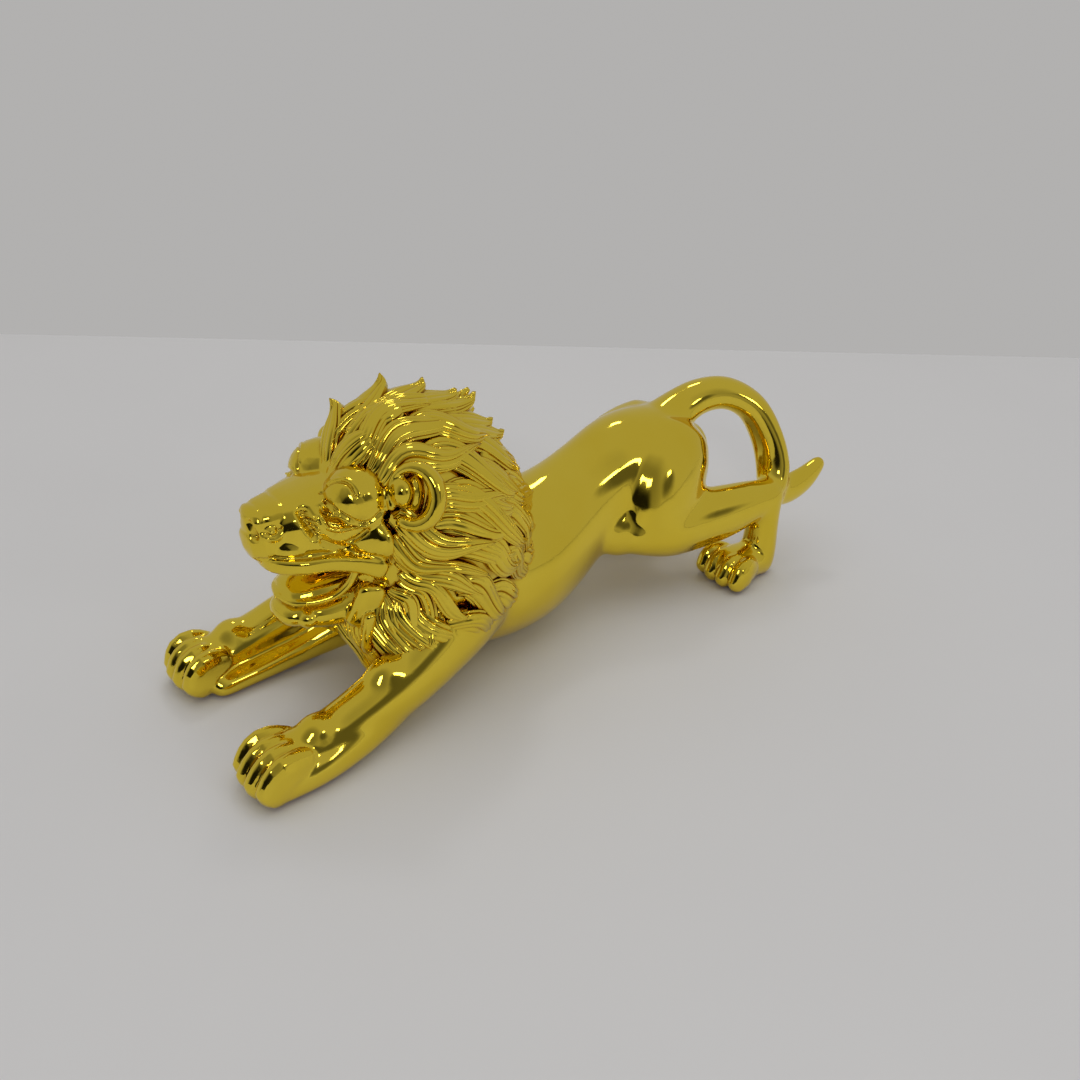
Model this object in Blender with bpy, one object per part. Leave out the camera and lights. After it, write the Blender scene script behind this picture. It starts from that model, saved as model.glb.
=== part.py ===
"""A small stretching lion, cast in one piece, with a mirror gold finish.

The lion faces -Y and its own left is +X. It stands on the flat undersides of its four paws at z = 0.
It is a free form, so its pose, proportions and carving are shares of its length: every place and size
below is in the figure's own measure, about a thousandth of a metre. LENGTH, WIDTH and HEIGHT set the
real size.
"""

import math

import bpy
import bmesh
import numpy as np
from mathutils import Matrix, Vector
from mathutils.bvhtree import BVHTree

LENGTH = 0.185  # from the front of the forepaws to the tip of the tail
WIDTH = 0.0608  # across the forepaws
HEIGHT = 0.0769  # from the floor to the tips of the crown

BODY_VOXEL = 0.9  # how finely the smooth body is blended together
VOXEL = 0.55  # how finely the whole figure is blended together
BODY_SMOOTHING = 14
SMOOTHING = 4
TRIANGLES = 9400

X_AXIS = Vector((1, 0, 0))
BOTH = (1, -1)  # the lion's left, then its right

GOLD = (0.85, 0.62, 0.05, 1)
GOLD_ROUGHNESS = 0.05


def clear_scene():
    for obj in list(bpy.data.objects):
        bpy.data.objects.remove(obj, do_unlink=True)


def through(rows, steps):
    """Points on a smooth curve through the rows, each row any number of values."""
    stops = [np.array(row, dtype=float) for row in rows]
    stops = [stops[0], *stops, stops[-1]]
    points = []
    for before, start, end, after in zip(stops, stops[1:], stops[2:], stops[3:]):
        for step in range(steps):
            t = step / steps
            point = before * (2 * t**2 - t - t**3) + start * (2 - 5 * t**2 + 3 * t**3)
            point += end * (t + 4 * t**2 - 3 * t**3) + after * (t**3 - t**2)
            points.append(point / 2)
    points.append(stops[-1])
    return points


def ring(bm, centre, across, deep, half_width, half_depth, sides, power):
    """Points round an oval, boxier as the power rises above 2."""
    points = []
    for k in range(sides):
        angle = 2 * math.pi * k / sides
        c, s = math.cos(angle), math.sin(angle)
        size = (abs(c) ** power + abs(s) ** power) ** (-1 / power)
        spot = centre + across * (half_width * size * c) + deep * (half_depth * size * s)
        points.append(bm.verts.new(spot))
    return points


def tube(bm, rows, sides=20, power=2.0, width_axis=X_AXIS):
    """A closed solid through rows of (x, y, z, half width, half depth), with domed ends.

    width_axis is one vector for the whole tube, or one for each row.
    """
    centres = [Vector(row[:3]) for row in rows]
    axes = width_axis if isinstance(width_axis, list) else [width_axis] * len(rows)
    last = len(rows) - 1
    rings = []
    ends = []
    for i, (centre, row) in enumerate(zip(centres, rows)):
        along = (centres[min(i + 1, last)] - centres[max(i - 1, 0)]).normalized()
        across = (axes[i] - along * axes[i].dot(along)).normalized()
        deep = along.cross(across)
        half_width, half_depth = row[3], row[4]
        tip = min(half_width, half_depth)
        domes = [(0.0, 1.0)]
        if i in (0, last):
            outward = 1 if i == last else -1
            domes += [(outward * tip * math.sin(a), math.cos(a)) for a in (0.6, 1.1)]
            ends.append(centre + along * outward * tip)
            if i == 0:
                domes.reverse()
        for shift, share in domes:
            spot = centre + along * shift
            rings.append(ring(bm, spot, across, deep, half_width * share, half_depth * share, sides, power))
    for low, high in zip(rings, rings[1:]):
        for k in range(sides):
            n = (k + 1) % sides
            bm.faces.new((low[k], low[n], high[n], high[k]))
    start, end = bm.verts.new(ends[0]), bm.verts.new(ends[1])
    for k in range(sides):
        n = (k + 1) % sides
        bm.faces.new((start, rings[0][n], rings[0][k]))
        bm.faces.new((end, rings[-1][k], rings[-1][n]))


def ball(bm, centre, radii, turn=0.0):
    """An egg with half sizes along X, Y and Z, turned about Z, in degrees."""
    place = Matrix.Translation(Vector(centre)) @ Matrix.Rotation(math.radians(turn), 4, "Z")
    place = place @ Matrix.Diagonal(Vector((*radii, 1)))
    bmesh.ops.create_icosphere(bm, subdivisions=3, radius=1, matrix=place)


def mirrored(rows, side):
    """The rows with x turned to the given side."""
    return [(side * row[0], *row[1:]) for row in rows]


def torso(bm):
    """Neck, deep chest, narrow waist and high round rump; rows of y, z, half width, half height."""
    rows = [
        (-34, 32.0, 14.0, 17.0),
        (-22, 26.0, 18.0, 21.0),
        (-10, 21.0, 20.0, 19.5),
        (2, 20.0, 19.0, 19.0),
        (12, 22.6, 16.4, 18.2),
        (22, 26.6, 13.8, 16.2),
        (31, 29.8, 13.0, 16.6),
        (41, 32.8, 14.0, 17.4),
        (50, 34.0, 13.4, 16.0),
        (58, 33.5, 11.0, 13.5),
        (63, 33.0, 8.0, 9.5),
    ]
    tube(bm, through([(0, y, z, a, b) for y, z, a, b in rows], 3), sides=28)


def hind_leg(bm, side):
    """Haunch, knee, level shank, high hock, upright metatarsus and foot."""
    thigh = [
        (7.0, 54, 38.0, 9.0, 12.0),
        (10.0, 48, 32.0, 9.5, 14.0),
        (12.5, 44, 25.0, 8.6, 12.5),
        (14.5, 46, 20.0, 7.6, 8.5),
    ]
    shank = [
        (13.0, 36, 21.6, 6.0, 6.6),
        (14.5, 45, 20.6, 7.6, 8.4),
        (16.0, 54, 20.6, 7.4, 8.6),
        (18.5, 63, 21.4, 6.6, 8.0),
        (20.5, 71, 22.8, 5.6, 6.4),
        (21.8, 77, 23.5, 4.8, 4.8),
    ]
    metatarsus = [
        (21.8, 76.4, 24.0, 4.8, 4.6),
        (22.0, 76.0, 15.0, 4.8, 4.6),
        (22.2, 75.6, 7.0, 5.2, 4.8),
        (22.2, 75.0, 3.0, 5.4, 4.6),
    ]
    foot = [
        (22.2, 75.5, 3.4, 5.2, 4.2),
        (22.0, 70.0, 4.4, 6.2, 5.2),
        (21.6, 64.5, 4.4, 6.8, 5.4),
    ]
    for rows in (thigh, shank, metatarsus, foot):
        tube(bm, through(mirrored(rows, side), 4))


def foreleg(bm, side):
    """Shoulder, elbow and a forearm that runs down to the floor."""
    rows = [
        (10.5, -12, 27.0, 9.0, 13.0),
        (15.0, -22, 21.5, 8.8, 11.5),
        (18.2, -32, 17.0, 7.8, 9.6),
        (20.4, -42, 13.0, 6.9, 8.2),
        (21.6, -52, 10.0, 6.2, 7.4),
        (22.0, -61, 7.6, 5.9, 6.8),
        (22.0, -69, 6.2, 6.2, 6.2),
        (21.8, -75, 6.0, 7.2, 6.2),
    ]
    inner_edge = [
        (15.5, -73, 2.5, 3.6, 3.0),
        (16.4, -62, 3.0, 4.2, 3.4),
        (16.0, -50, 4.6, 4.4, 4.2),
        (13.5, -40, 7.6, 4.6, 5.4),
    ]
    for shape in (rows, inner_edge):
        tube(bm, through(mirrored(shape, side), 4))


def tail(bm):
    """Out of the rump, up in an arch and down onto the left hock, with the tip flicked out behind."""
    arch = [
        (0.0, 52, 42.0, 7.5, 7.5),
        (0.0, 60, 46.2, 6.2, 5.6),
        (1.6, 67, 49.2, 5.2, 5.0),
        (5.0, 74, 49.6, 5.0, 4.6),
        (9.5, 80.0, 45.4, 5.2, 4.3),
        (14.0, 82.6, 37.6, 5.6, 3.9),
        (17.6, 82.6, 30.0, 5.6, 3.7),
        (20.5, 80, 24.5, 4.6, 3.6),
    ]
    tip = [
        (20.0, 79, 23.5, 4.0, 4.4),
        (20.6, 86, 22.0, 3.6, 4.6),
        (21.0, 93, 23.5, 3.0, 4.2),
        (21.2, 98.5, 27.0, 2.2, 2.6),
    ]
    for rows in (arch, tip):
        tube(bm, through(rows, 5))


TOE_SPREAD = 4.1  # from one toe's middle to the next


def paw(bm, side, heel, front, height):
    """Four rounded toes, parted by deep grooves; heel and front are (x, y) of the pad's middle."""
    for k in range(4):
        out = (k - 1.5) * TOE_SPREAD
        reach = front[1] + 0.5 * (k - 1.5) ** 2
        rows = [
            (front[0] + out * 0.75, heel, height * 0.52, 2.6, height * 0.42),
            (front[0] + out, (heel + reach) / 2 + 1, height * 0.56, 2.5, height * 0.52),
            (front[0] + out * 1.02, reach + 3.4, height * 0.42, 2.4, height * 0.44),
        ]
        tube(bm, through(mirrored(rows, side), 4), sides=14)


def muzzle(bm):
    """Blunt muzzle under a broad flat bridge, with the nose pad hung on its front."""
    rows = [
        (-38, 50.0, 14.5, 12.0),
        (-46, 50.0, 12.6, 10.0),
        (-53, 49.8, 11.2, 9.2),
        (-58, 49.6, 9.4, 8.7),
        (-61.5, 49.2, 7.0, 6.8),
    ]
    tube(bm, through([(0, y, z, a, b) for y, z, a, b in rows], 4), sides=28, power=2.5)
    nose = [
        (0, -60.0, 54.8, 6.0, 3.2),
        (0, -63.4, 54.4, 5.4, 3.1),
    ]
    tube(bm, through(nose, 3), power=2.6)
    pad = [
        (0, -65.2, 55.0, 4.8, 2.4),
        (0, -65.6, 51.0, 3.8, 2.0),
        (0, -65.0, 47.6, 2.2, 1.6),
    ]
    tube(bm, through(pad, 3))
    for side in BOTH:
        ball(bm, (side * 4.8, -62.8, 52.2), (2.3, 2.8, 2.1))
        ball(bm, (side * 3.4, -59.2, 47.6), (5.2, 5.2, 4.6))


def jaws(bm):
    """Upper lip band that droops at the corner, and the lower jaw with its lip, tongue and chin."""
    upright = Vector((0, 0, 1))
    for side in BOTH:
        lip = [
            (0.0, -64.0, 45.2, 2.1, 2.1),
            (5.0, -63.4, 44.9, 2.1, 2.1),
            (9.4, -59.2, 44.8, 2.0, 2.0),
            (11.8, -53.4, 44.8, 2.0, 1.9),
            (13.6, -47.6, 43.2, 2.2, 1.9),
            (15.0, -43.4, 41.4, 2.7, 2.1),
        ]
        tube(bm, through(mirrored(lip, side), 4), width_axis=upright)
        lower = [
            (0.0, -61.8, 33.2, 0.9, 1.0),
            (4.6, -60.2, 33.0, 0.9, 1.0),
            (7.4, -56.4, 33.2, 0.9, 1.0),
            (9.2, -52.0, 34.2, 0.9, 1.0),
            (10.6, -49.2, 36.8, 0.9, 1.0),
            (11.4, -47.4, 40.4, 0.9, 1.0),
        ]
        tube(bm, through(mirrored(lower, side), 4), width_axis=upright)
    jaw = [
        (0, -40, 29.6, 11.0, 7.2),
        (0, -48, 28.6, 10.2, 5.2),
        (0, -54, 28.2, 9.0, 4.0),
        (0, -58.4, 28.4, 6.8, 3.3),
    ]
    tube(bm, through(jaw, 4), sides=24, power=2.9)
    tongue = [
        (0, -46, 33.6, 9.4, 2.0),
        (0, -54, 32.8, 8.6, 1.9),
        (0, -59.2, 32.6, 6.6, 1.7),
    ]
    tube(bm, through(tongue, 4), sides=28, power=3.6)
    ball(bm, (0, -59.8, 27.8), (4.2, 2.9, 2.8))
    ball(bm, (0, -40, 36), (12.0, 7.5, 9))
    for side in BOTH:
        corner = [
            (11.4, -46.4, 26.4, 4.6, 2.2),
            (12.6, -45.4, 31.0, 4.2, 2.1),
            (13.4, -44.8, 35.0, 3.4, 1.8),
        ]
        tube(bm, through(mirrored(corner, side), 4), power=2.8, width_axis=Vector((side * 0.35, 1, 0)))


def brow_and_eye(bm, side):
    """Heavy round brow over a deep eye, with the cheek below."""
    ball(bm, (side * 8.0, -43.9, 57.0), (7.4, 8.0, 6.8), turn=side * 12)
    ball(bm, (side * 11.8, -41.6, 54.2), (3.4, 5.4, 5.6), turn=side * 20)
    ball(bm, (side * 1.8, -40.4, 58.6), (6.6, 7.2, 6.4))
    ball(bm, (side * 9.8, -50.4, 55.6), (1.7, 1.7, 1.5))
    pouch = [
        (side * 8.4, -52.4, 51.2, 1.2, 1.0),
        (side * 9.9, -50.6, 50.0, 1.8, 1.3),
        (side * 10.9, -48.4, 50.2, 1.8, 1.3),
        (side * 12.4, -46.2, 51.6, 1.2, 1.0),
    ]
    tube(bm, through(pouch, 4), sides=14, width_axis=Vector((0, 0, 1)))
    cheek = [
        (side * 10.6, -43.6, 53.0, 3.2, 2.6),
        (side * 12.9, -43.9, 48.4, 5.2, 2.7),
        (side * 14.2, -42.8, 45.2, 4.6, 2.5),
    ]
    tube(bm, through(cheek, 4), sides=24, power=3.4, width_axis=Vector((side * 0.7, 0.7, 0)))


def grooves():
    """Lines cut into the finished form: points along each, how wide it reaches and how deep it goes.

    A line with a negative depth stands up as a ridge.
    """
    nostril = [(2.4, -67.2, 54.8), (3.0, -66.8, 53.2), (3.4, -66.6, 51.8)]
    nose_wing = [(5.4, -65.0, 53.0), (6.2, -63.9, 52.4), (7.0, -62.8, 52.8), (6.6, -62.2, 54.0)]
    lip_crease = [
        (3.0, -65.4, 46.8),
        (8.0, -60.7, 46.7),
        (10.8, -56.1, 46.6),
        (11.6, -51.0, 46.2),
        (16.2, -43.6, 44.8),
    ]
    lid = [
        (8.0, -51.9, 57.9),
        (10.9, -51.3, 57.2),
        (13.2, -49.2, 55.1),
        (14.0, -46.8, 53.0),
        (15.3, -42.5, 55.2),
    ]
    lid_edge = [(7.4, -52.3, 56.9), (10.5, -51.8, 56.3), (12.8, -49.4, 54.2), (14.0, -46.9, 52.2)]
    eye = [(8.6, -52.4, 55.6), (10.6, -51.0, 55.0), (11.8, -49.6, 53.8)]
    lower_lid = [
        (8.8, -53.4, 54.4),
        (9.6, -52.7, 52.6),
        (11.2, -50.8, 51.9),
        (12.2, -48.2, 51.9),
        (14.4, -45.7, 52.8),
    ]
    pouch_edge = [
        (8.9, -53.8, 51.0),
        (10.5, -52.4, 49.1),
        (11.6, -49.9, 48.1),
        (12.8, -47.5, 49.2),
        (14.2, -45.5, 51.2),
    ]
    cheek_fold = [(10.0, -54.2, 49.8), (11.4, -51.8, 47.9), (12.0, -49.6, 46.6)]
    eye_corner = [(7.2, -56.9, 56.2), (7.9, -56.2, 53.8), (9.2, -55.4, 51.6)]
    swirl = [
        (5.6, -51.6, 58.9),
        (7.4, -50.3, 61.2),
        (9.3, -48.9, 62.4),
        (11.6, -47.7, 62.2),
        (13.3, -47.3, 60.8),
    ]
    cuts = (
        (nostril, 1.4, 1.2),
        (nose_wing, 1.0, 0.8),
        (lip_crease, 0.9, 0.35),
        (lid, 0.9, 0.5),
        (lid_edge, 0.8, -0.4),
        (eye, 1.2, 0.9),
        (lower_lid, 0.8, -0.45),
        (pouch_edge, 0.9, 0.4),
        (cheek_fold, 1.3, 0.9),
        (eye_corner, 1.9, 1.1),
        (swirl, 0.8, 0.35),
    )
    made = []
    for side in BOTH:
        for points, reach, depth in cuts:
            made.append((through(mirrored(points, side), 6), reach, depth))
    return made


def carve(bm, cuts):
    """Moves the points near each line inwards, deepest on the line itself.

    A negative depth raises a ridge.
    """
    bm.normal_update()
    surface = BVHTree.FromBMesh(bm)
    places = np.array([v.co for v in bm.verts])
    inward = np.array([v.normal for v in bm.verts])
    cut_in = np.zeros(len(places))
    raised = np.zeros(len(places))
    for points, reach, depth in cuts:
        line = np.array([surface.find_nearest(Vector(point))[0] for point in points])
        near = np.where(((places > line.min(0) - reach) & (places < line.max(0) + reach)).all(1))[0]
        if not len(near):
            continue
        best = np.full(len(near), 1e9)
        for a, b in zip(line, line[1:]):
            t = np.clip((places[near] - a) @ (b - a) / max((b - a) @ (b - a), 1e-9), 0, 1)
            best = np.minimum(best, np.linalg.norm(places[near] - a - t[:, None] * (b - a), axis=1))
        share = np.clip(1 - (best / reach) ** 2, 0, 1) ** 2
        if depth > 0:
            cut_in[near] = np.maximum(cut_in[near], depth * share)
        else:
            raised[near] = np.maximum(raised[near], -depth * share)
    for vert, direction, amount in zip(bm.verts, inward, cut_in - raised):
        if amount:
            vert.co -= Vector(direction) * amount


def ear(bm, side):
    """A cup with a thick round rim, open to the front and side, and a round lobe inside it."""
    centre = Vector((side * 18.6, -36.0, 58.6))
    facing = Vector((side * 0.72, -0.62, 0.3)).normalized()
    level = facing.cross(Vector((0, 0, 1))).normalized()
    rise = level.cross(facing)
    rows, axes = [], []
    steps = 20
    for step in range(steps + 1):
        angle = math.radians(-115 + 320 * step / steps)
        thick = 1.35 + 0.75 * math.cos(angle * 0.8 + 0.2)
        spoke = level * math.cos(angle) * -side + rise * math.sin(angle)
        spot = centre + spoke * 5.4 + rise * (1.0 * math.sin(angle)) + facing * (0.6 * math.cos(angle))
        rows.append((*spot, max(0.9, thick), max(1.0, thick * 1.2)))
        axes.append(spoke)
    tube(bm, rows, sides=12, width_axis=axes)
    ball(bm, centre - facing * 5.0, (6.2, 3.8, 7.0), turn=-side * 40)
    ball(bm, centre + level * (side * 2.4) + rise * 0.6 - facing * 0.9, (3.3, 2.9, 3.7), turn=-side * 40)


LOCK_STEPS = 12


class Form:
    """A rounded mass that hair lies on, with a pole that the hair is swept away from."""

    def __init__(self, centre, radii, pole, front, stoop=0.0, tuck=0.0, spread=0.0):
        self.centre, self.radii = Vector(centre), Vector(radii)
        self.pole = Vector(pole).normalized()
        self.side = X_AXIS
        self.front = Vector(front).normalized()
        self.stoop, self.tuck, self.spread = stoop, tuck, spread

    def place(self, way):
        """Where the surface lies.

        stoop brings its top forward, tuck brings its foot forward, and spread widens it below.
        """
        x = way.x * self.radii.x * (1 - self.spread * way.z)
        z = way.z * self.radii.z
        forward = self.stoop * max(z, 0) + self.tuck * max(-z, 0)
        return self.centre + Vector((x, way.y * self.radii.y - forward, z))

    def at(self, away, around, lift):
        """A point and its normal, by degrees away from the pole, degrees round it, and lift."""
        a, r = math.radians(away), math.radians(around)
        ring_way = self.front * math.cos(r) + self.side * math.sin(r)
        way = self.pole * math.cos(a) + ring_way * math.sin(a)
        down = ring_way * math.cos(a) - self.pole * math.sin(a)
        along = self.place(way + down * 0.02) - self.place(way - down * 0.02)
        turn = self.front * -math.sin(r) + self.side * math.cos(r)
        across = self.place(way + turn * 0.02) - self.place(way - turn * 0.02)
        normal = along.cross(across).normalized()
        if normal.dot(way) < 0:
            normal.negate()
        return self.place(way) + normal * lift, normal

    def solid(self, bm, share):
        made = bmesh.ops.create_icosphere(bm, subdivisions=5, radius=1)
        for vert in made["verts"]:
            vert.co = self.centre + (self.place(vert.co) - self.centre) * share


FACE_WAY = Vector((0, -1, 0.18)).normalized()
CROWN_WAY = FACE_WAY.cross(X_AXIS)
MANE = Form((0, -22.0, 40.5), (23.0, 24.0, 31.0), FACE_WAY, CROWN_WAY, stoop=0.26, tuck=0.14, spread=0.16)
BEARD = Form((0, -35.0, 24.0), (20.5, 14.0, 17.0), (0, 0, 1), (0, -1, 0))

UNDER = []  # what hair rests on besides its own form: the body and the beard's mass
HAIR_RAY = 13  # how far above the form the body is looked for
FRONT_RIDE = 5.0  # how far the locks that grow from the hairline ride up on it
REAR_RIDE = 2.0  # and those behind


def laid(form, spots, lifts, most):
    """Points and normals of a lock through the spots, lifted clear of what lies above the form.

    It isn't lifted by more than most, so where the body lies higher the lock goes in under it.
    """
    path, normals, outs = [], [], []
    for away, around in spots:
        point, normal = form.at(away, around, 0)
        out = 0.0
        for tree in UNDER:
            away_by = tree.ray_cast(point + normal * HAIR_RAY, -normal, HAIR_RAY)[3]
            if away_by is not None:
                out = min(most, max(out, HAIR_RAY - away_by))
        path.append(point)
        normals.append(normal)
        outs.append(out)
    for _ in range(3):
        padded = [outs[0], *outs, outs[-1]]
        outs = [(a + 2 * b + c) / 4 for a, b, c in zip(padded, padded[1:], padded[2:])]
    return [p + n * (o + lift) for p, n, o, lift in zip(path, normals, outs, lifts)], normals


def lock(bm, path, normals, widths, taper):
    """A flat lock of hair along the path that swells from its root and closes to a tip.

    widths holds its half width at each step. The higher the taper, the longer it keeps its width.
    """
    last = len(path) - 1
    rows, axes = [], []
    for step, (point, normal) in enumerate(zip(path, normals)):
        t = step / last
        along = (path[min(step + 1, last)] - path[max(step - 1, 0)]).normalized()
        axes.append(along.cross(normal).normalized())
        swell = 0.75 + 0.25 * math.sin(math.pi * min(1, t * 2) * 0.5)
        half = widths[step] * (swell * (1 - t**taper) + 0.05)
        rows.append((*point, half, 0.6 + 0.42 * half))
    tube(bm, rows, sides=14, width_axis=axes)


# The flow of the hair: degrees away from the face's middle and round it, from root to tip of guide locks
FLOW = [
    [(38, 4), (60, 0), (85, -2), (110, 0)],
    [(44, 22), (62, 10), (84, 4), (113, 3)],
    [(48, 37), (68, 27), (90, 22), (120, 12)],
    [(52, 49), (70, 42), (92, 43), (126, 34)],
    [(70, 70), (84, 66), (102, 66), (122, 72)],
    [(48, 67), (53, 82), (68, 93), (95, 88)],
    [(46, 86), (56, 95), (76, 97), (101, 103)],
    [(48, 100), (62, 103), (78, 109), (98, 108)],
    [(48, 106), (60, 109), (71, 119), (73, 128)],
    [(45, 116), (56, 117), (65, 125), (73, 129)],
    [(42, 124), (50, 128), (60, 131), (69, 131)],
    [(36, 130), (44, 136), (52, 144), (59, 152)],
    [(34, 152), (44, 158), (56, 163), (68, 170)],
]


def flow(across, along):
    """(away, around) at a share across the guides, from crown to beard, and a share along them."""
    spot = across * (len(FLOW) - 1)
    low = min(int(spot), len(FLOW) - 2)
    first, second = (through(FLOW[k], 6) for k in (low, low + 1))
    step = along * (len(first) - 1)
    k = min(int(step), len(first) - 2)
    a = first[k] + (first[k + 1] - first[k]) * (step - k)
    b = second[k] + (second[k + 1] - second[k]) * (step - k)
    return a + (b - a) * (spot - low)


FLOWING = 14  # locks on each side that grow from the hairline
THIN, THICK = 1.9, 3.5  # half widths that such a lock stays between


def flowing_lock(bm, side, k):
    """The k-th lock from the hairline, along the flow and as wide as the flow's spacing there."""
    across = (k + 0.5) / FLOWING
    start = 0.03 * math.sin(k * 2.2)
    end = 0.92 + 0.08 * math.cos(k * 2.9)
    rise = 1.3 + 0.6 * math.sin(k * 4.1) if k > 3 else 0.2
    spots, lifts, widths = [], [], []
    for step in range(LOCK_STEPS + 1):
        t = step / LOCK_STEPS
        along = max(0, start + (end - start) * t)
        away, around = flow(across, along)
        edges = [MANE.at(*flow(share, along), 0)[0] for share in (k / FLOWING, (k + 1) / FLOWING)]
        widths.append(min(THICK, max(THIN, 0.62 * (edges[1] - edges[0]).length)))
        spots.append((away, side * around))
        lifts.append(0.3 + 0.7 * math.sin(math.pi * min(1, t * 3) * 0.5) + rise * t**3)
    lock(bm, *laid(MANE, spots, lifts, FRONT_RIDE), widths, 3.4)


def swept_lock(bm, form, start, end, width, curl, rise, taper=2.8, ease=1.0):
    """A lock laid on the form from start to end, each (away, around), curling sideways as it goes.

    An ease above 1 slows it towards its end, so that its rise stands the tip up.
    """
    spots, lifts = [], []
    for step in range(LOCK_STEPS + 1):
        t = step / LOCK_STEPS
        away = start[0] + (end[0] - start[0]) * (1 - (1 - t) ** ease)
        around = start[1] + (end[1] - start[1]) * t**1.3 + curl * math.sin(math.pi * 1.7 * t) * t
        spots.append((away, around))
        lifts.append(-0.8 + 1.8 * math.sin(math.pi * min(1, t * 1.2) * 0.5) + rise * t**3)
    lock(bm, *laid(form, spots, lifts, REAR_RIDE), [width] * (LOCK_STEPS + 1), taper)


# Tips that stand up from the crown: degrees away from the face, degrees round, and how far each tip rises
FLAMES = [
    (62, -24, 5.9),
    (82, -15, 5.2),
    (99, -9, 4.4),
    (113, -3, 4.5),
    (120, 0, 6.2),
    (130, 8, 3.9),
    (136, 13, 3.9),
    (146, 29, 1.5),
    (152, 55, 2.4),
]
FLAME_RUN = 32  # degrees from a flame's root to its tip
FLAME_WIDTH = 4.6


def flame(bm, side, away, around, rise):
    """A crown lock that lifts off into a pointed tip."""
    start = (away - FLAME_RUN, side * (around + 9))
    swept_lock(bm, MANE, start, (away, side * around), FLAME_WIDTH, side * -3, rise, taper=5.0, ease=2.0)


def mane(bm):
    """The mane's mass with tiers of locks swept back from the face, and the beard below."""
    MANE.solid(bm, 1.0)
    BEARD.solid(bm, 0.98)
    for side in BOTH:
        for away, around, rise in FLAMES:
            flame(bm, side, away, around, rise)
        for first, length, count, offset, width in (
            (80, 46, 9, 0.2, 4.2),
            (104, 40, 9, 0.6, 4.2),
            (126, 34, 7, 0.0, 4.2),
        ):
            for k in range(count):
                around = (k + offset) * 180 / count
                sag = 20 * math.sin(math.radians(around))
                start = (first + 3 * math.sin(k * 2.1), side * around)
                end = (first + length + 4 * math.cos(k * 3.3 + first), side * (around + sag))
                rise = 1.2 + 0.6 * math.sin(k * 5.1 + first) - 0.6 * math.sin(math.radians(around))
                swept_lock(bm, MANE, start, end, width, side * 8 * math.cos(k * 1.9 + first), rise)
        for k in range(FLOWING):
            flowing_lock(bm, side, k)
        for k in range(5):
            around = 9 + 19 * k
            start = (58 + 3 * (k % 2), side * around)
            end = (132 + 5 * math.sin(k * 2.3) - 0.1 * around, side * (around + 8))
            swept_lock(bm, BEARD, start, end, 3.8, side * 7 * math.cos(k * 1.7), 0.0)


def bake(obj):
    """Puts the object's modifiers into its mesh."""
    graph = bpy.context.evaluated_depsgraph_get()
    mesh = bpy.data.meshes.new_from_object(obj.evaluated_get(graph))
    old = obj.data
    obj.modifiers.clear()
    obj.data = mesh
    bpy.data.meshes.remove(old)


def object_from(bm, name):
    mesh = bpy.data.meshes.new(name)
    bm.to_mesh(mesh)
    bm.free()
    obj = bpy.data.objects.new(name, mesh)
    bpy.context.scene.collection.objects.link(obj)
    return obj


def blended(obj, voxel, smoothing):
    remesh = obj.modifiers.new("Blend", "REMESH")
    remesh.mode = "VOXEL"
    remesh.voxel_size = voxel
    smooth = obj.modifiers.new("Soften", "SMOOTH")
    smooth.factor = 0.5
    smooth.iterations = int(smoothing)
    bake(obj)


def stand_flat(bm):
    """Cuts off what is below the floor, flat."""
    whole = bm.verts[:] + bm.edges[:] + bm.faces[:]
    cut = bmesh.ops.bisect_plane(
        bm, geom=whole, dist=1e-4, plane_co=(0, 0, 0), plane_no=(0, 0, -1), clear_outer=True
    )
    rim = [item for item in cut["geom_cut"] if isinstance(item, bmesh.types.BMEdge)]
    filled = bmesh.ops.edgeloop_fill(bm, edges=rim)
    bmesh.ops.triangulate(bm, faces=filled["faces"])


def lion():
    body = bmesh.new()
    torso(body)
    tail(body)
    for side in BOTH:
        hind_leg(body, side)
        foreleg(body, side)
    smooth_body = object_from(body, "smooth_body")
    blended(smooth_body, BODY_VOXEL, BODY_SMOOTHING)

    whole = bmesh.new()
    whole.from_mesh(smooth_body.data)
    bpy.data.objects.remove(smooth_body, do_unlink=True)
    UNDER.append(BVHTree.FromBMesh(whole))
    beard = bmesh.new()
    BEARD.solid(beard, 0.98)
    UNDER.append(BVHTree.FromBMesh(beard))
    beard.free()
    mane(whole)
    muzzle(whole)
    jaws(whole)
    for side in BOTH:
        brow_and_eye(whole, side)
        ear(whole, side)
        paw(whole, side, -72, (21.6, -84.0 - side), 12.4)
        paw(whole, side, 68, (21.4, 57.0), 9.0)
    figure = object_from(whole, "lion")
    blended(figure, VOXEL, SMOOTHING)

    bm = bmesh.new()
    bm.from_mesh(figure.data)
    carve(bm, grooves())
    bmesh.ops.triangulate(bm, faces=bm.faces[:])
    bm.to_mesh(figure.data)
    fewer = figure.modifiers.new("Fewer faces", "DECIMATE")
    fewer.ratio = min(1.0, TRIANGLES / len(bm.faces))
    bm.free()
    bake(figure)

    bm = bmesh.new()
    bm.from_mesh(figure.data)
    stand_flat(bm)
    bm.to_mesh(figure.data)
    bm.free()
    return figure


def settle(obj):
    """Real size, and the origin on the floor under the middle of the figure's box."""
    low = [min(v.co[i] for v in obj.data.vertices) for i in range(3)]
    high = [max(v.co[i] for v in obj.data.vertices) for i in range(3)]
    scales = [size / (high[i] - low[i]) for i, size in enumerate((WIDTH, LENGTH, HEIGHT))]
    middle = Vector(((low[0] + high[0]) / 2, (low[1] + high[1]) / 2, low[2]))
    obj.data.transform(Matrix.Diagonal(Vector((*scales, 1))) @ Matrix.Translation(-middle))


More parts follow.
